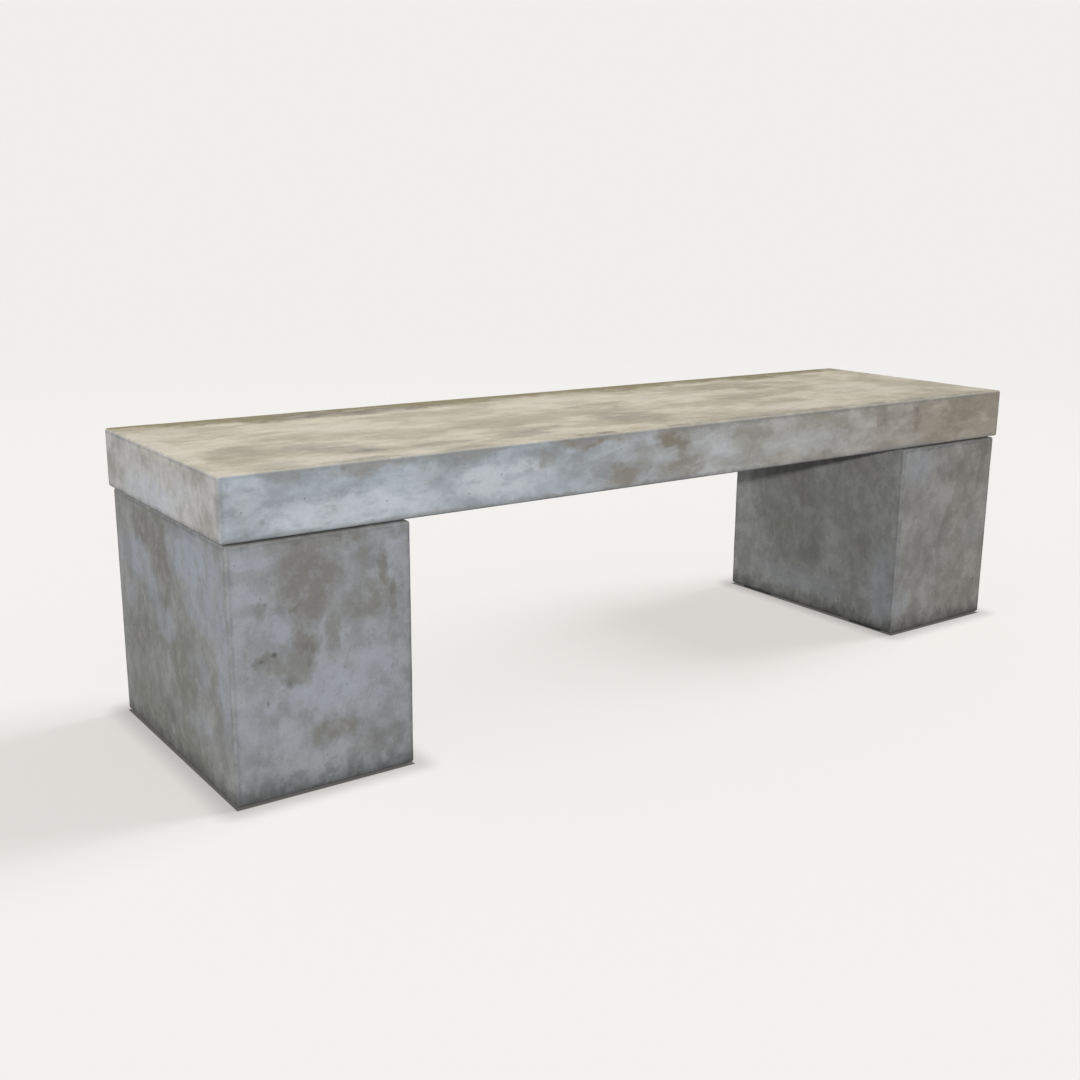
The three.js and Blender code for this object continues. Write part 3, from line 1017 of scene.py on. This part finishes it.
def make_bolt(node, material):
    """A threaded bolt in place of the plain CAD one, head down."""
    low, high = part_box(node)
    centre, _ = centre_and_half(low, high)
    turns, rows = bolt_rings(low[2], high[2])
    rings = []
    for height, radius in rows:
        x = centre[0] + radius * np.cos(turns)
        y = centre[1] + radius * np.sin(turns)
        rings.append([(float(a), float(b), float(height)) for a, b in zip(x, y)])
    points, faces = ring_tube(rings)
    mesh = bpy.data.meshes.new(node)
    mesh.from_pydata(points, [], faces)
    mesh.materials.append(material)
    bolt = add_piece(f"{node}_threaded", mesh)
    mesh.shade_smooth()
    mesh.set_sharp_from_angle(angle=BOLT_SHARP)
    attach(bolt, "root")
    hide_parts(node)


def soften(piece):
    """Rounds the edges of a pressed or moulded CAD piece."""
    weld = piece.modifiers.new("weld", "WELD")
    weld.merge_threshold = WELD_REACH
    bevel = piece.modifiers.new("bevel", "BEVEL")
    bevel.width = SOFT_EDGE
    bevel.segments = 2
    bevel.angle_limit = SMOOTH_ANGLE


zinc_steel = metal("zinc_steel", (0.6, 0.6, 0.58, 1), 0.38, 4 * MM)
bare_steel = metal("bare_steel", (0.36, 0.34, 0.31, 1), 0.5, 3 * MM)
HIDDEN_MATERIALS = {
    "bolt": zinc_steel,
    "washer": zinc_steel,
    "insert": bare_steel,
    "pad": rubber("rubber"),
}
for node, piece in frame["nodes"].items():
    kind = node.rsplit("_", 1)[-1]
    if kind == "bolt":
        make_bolt(node, HIDDEN_MATERIALS[kind])
    elif kind in HIDDEN_MATERIALS:
        for material_slot in piece.material_slots:
            material_slot.material = HIDDEN_MATERIALS[kind]
        soften(piece)


# ---------------------------------------------------------------------------- stage


def plain(name, colour, roughness):
    """A stage material of one colour."""
    recipe = Recipe(name, roughness)
    recipe.shader.inputs["Base Color"].default_value = colour
    return recipe.material


def seen_only(piece, by_camera):
    """Shows a stage piece only to the camera, or only to the light that bounces between surfaces."""
    piece.visible_camera = by_camera
    piece.visible_diffuse = not by_camera
    piece.visible_glossy = not by_camera
    piece.visible_transmission = not by_camera
    piece.visible_shadow = False


def floor_sheet(name, height, material):
    reach = FLOOR_FADE[1]
    corners = [(x * reach, y * reach, height) for x, y in ((-1, -1), (1, -1), (1, 1), (-1, 1))]
    mesh = bpy.data.meshes.new(name)
    mesh.from_pydata(corners, [], [(0, 1, 2, 3)])
    mesh.materials.append(material)
    floor = add_piece(name, mesh)
    return floor


def shade_contact(recipe, nodes):
    """A painted contact shadow: 1 on the open floor, less beside these pieces, and least of all under
    them.
    """
    outside = None
    for node in nodes:
        centre, half = centre_and_half(*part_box(node))
        off = recipe.distance_along(recipe.place, (*centre[:2], 0))
        past = recipe.vector("MAXIMUM", recipe.vector("SUBTRACT", off, (*half[:2], 0)), (0, 0, 0))
        away = recipe.vector("LENGTH", past)
        outside = away if outside is None else recipe.math("MINIMUM", outside, away)
    near = recipe.between(outside, 0, CONTACT_REACH, CONTACT_SHADE, 1)
    covered = recipe.between(outside, 0, MM, CONTACT_COVER, 1)
    return recipe.times(near, covered)


def floor_material():
    """Pale and faintly glowing, with a painted shadow at the legs' feet, and fading out far away."""
    recipe = Recipe("floor", FLOOR_ROUGHNESS)
    shader = recipe.shader.inputs
    shader["Specular IOR Level"].default_value = 0
    shader["Emission Strength"].default_value = 1
    lit = shade_contact(recipe, ["left_leg", "right_leg"])
    recipe.feed(shader["Base Color"], recipe.mix(lit, FLOOR_SHADED, FLOOR_COLOUR))
    recipe.feed(shader["Emission Color"], recipe.mix(lit, BLACK, FLOOR_GLOW))
    away = recipe.vector("LENGTH", recipe.place)
    recipe.feed(shader["Alpha"], recipe.between(away, *FLOOR_FADE, 1, 0))
    return recipe.material


def make_floor():
    """The floor that the camera sees. A sheet just under it bounces light onto the bench instead."""
    floor = floor_sheet("floor", 0, floor_material())
    seen_only(floor, True)
    bounce_material = plain("floor_bounce", FLOOR_BOUNCE_COLOUR, FLOOR_ROUGHNESS)
    bounce = floor_sheet("floor_bounce", -MM, bounce_material)
    seen_only(bounce, False)
    return floor


def make_surround():
    """An even pale glow all around, which only the camera sees."""
    shape = bmesh.new()
    bmesh.ops.create_icosphere(shape, subdivisions=4, radius=SURROUND_RADIUS)
    surround = add_piece("surround", mesh_from(shape, "surround"))
    material = plain("surround", BLACK, 1)
    shader = material.node_tree.nodes["Principled BSDF"].inputs
    shader["Emission Color"].default_value = SURROUND_GLOW
    shader["Emission Strength"].default_value = 1
    shader["Specular IOR Level"].default_value = 0
    surround.data.materials.append(material)
    seen_only(surround, True)


def make_world():
    world = bpy.data.worlds.new("studio")
    world.use_nodes = True
    background = world.node_tree.nodes["Background"]
    background.inputs["Color"].default_value = AMBIENT_COLOUR
    background.inputs["Strength"].default_value = AMBIENT_STRENGTH
    bpy.context.scene.world = world


def make_light(name, place, target, size, energy, colour, kind="AREA", glossy=True):
    """A round area lamp of this width, or a sun of this width in radians."""
    light = bpy.data.lights.new(name, kind)
    if kind == "AREA":
        light.shape = "DISK"
        light.size = size
    else:
        light.angle = size
    light.energy = energy
    light.color = colour
    lamp = bpy.data.objects.new(name, light)
    lamp.location = place
    lamp.rotation_euler = (Vector(target) - lamp.location).to_track_quat("-Z", "Y").to_euler()
    lamp.visible_glossy = glossy
    bpy.context.scene.collection.objects.link(lamp)
    return lamp


def collected(name, pieces):
    """A collection for light linking, holding these pieces."""
    collection = bpy.data.collections.new(name)
    for piece in pieces:
        collection.objects.link(piece)
    return collection


def make_lights(floor):
    """Lamps for the bench, and a wide sun whose only shadows on the floor are the legs'."""
    bench = collected("bench", [each for each in bpy.context.scene.objects if each != floor])
    for name, lamp in BENCH_LAMPS.items():
        make_light(name, **lamp).light_linking.receiver_collection = bench
    sun = make_light("side", **FLOOR_SUN)
    sun.light_linking.receiver_collection = collected("floor_only", [floor])
    sun.light_linking.blocker_collection = collected("legs_only", legs)


def make_camera():
    data = bpy.data.cameras.new("camera")
    data.lens = CAMERA_LENS
    data.shift_x, data.shift_y = CAMERA_SHIFT
    camera = bpy.data.objects.new("camera", data)
    camera.location = CAMERA_PLACE
    unrolled = Euler((math.pi / 2 + CAMERA_PITCH, 0, -CAMERA_YAW), "XYZ").to_matrix()
    camera.rotation_euler = (unrolled @ Euler((0, 0, CAMERA_ROLL)).to_matrix()).to_euler()
    bpy.context.scene.collection.objects.link(camera)
    bpy.context.scene.camera = camera


floor = make_floor()
make_surround()
make_world()
make_lights(floor)
make_camera()
bpy.context.scene.view_settings.view_transform = "Standard"
